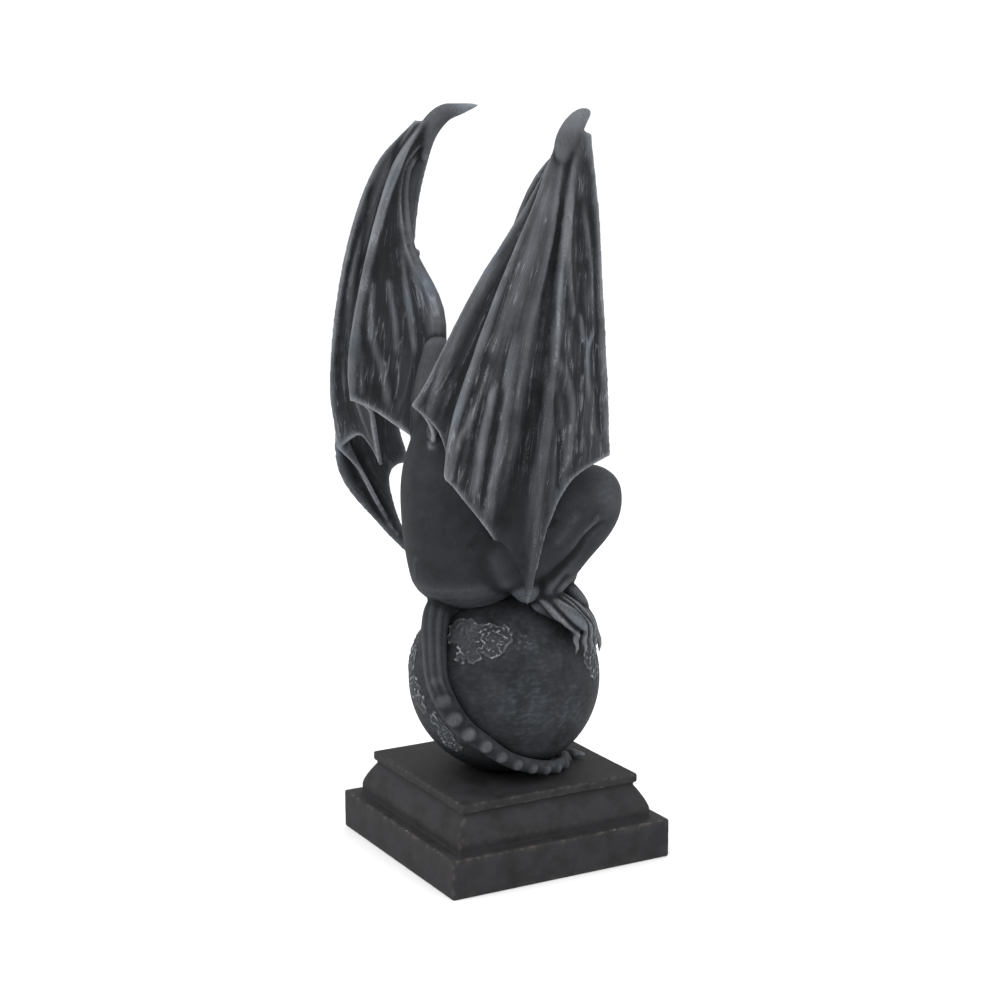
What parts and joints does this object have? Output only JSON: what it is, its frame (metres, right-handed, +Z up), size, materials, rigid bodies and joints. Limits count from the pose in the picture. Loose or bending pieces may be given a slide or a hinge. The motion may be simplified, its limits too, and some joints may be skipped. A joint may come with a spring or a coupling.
{
  "type": "gargoyle figurine",
  "caption": "Cast resin figurine of a winged gargoyle crouching on a globe, its tail round the globe, on a stepped square plinth.",
  "frame": {"origin": "centre of the plinth's flat underside", "axes": "+Z up through the globe, the figure faces -Y, its right side is -X"},
  "size_m": [0.2021, 0.1479, 0.4257],
  "materials": {
    "plinth_resin": "matte dark grey painted cast resin, worn a little brown on its edges",
    "globe_resin": "matte charcoal painted cast resin, dry brushed with pale grey-blue on its raised lands",
    "figure_resin": "matte charcoal painted cast resin, dry brushed with pale grey along ridges, veins, hems and toes"
  },
  "bodies": {
    "root": {"plinth": "plinth_resin", "globe": "globe_resin", "gargoyle": "figure_resin"}
  },
  "joints": []
}
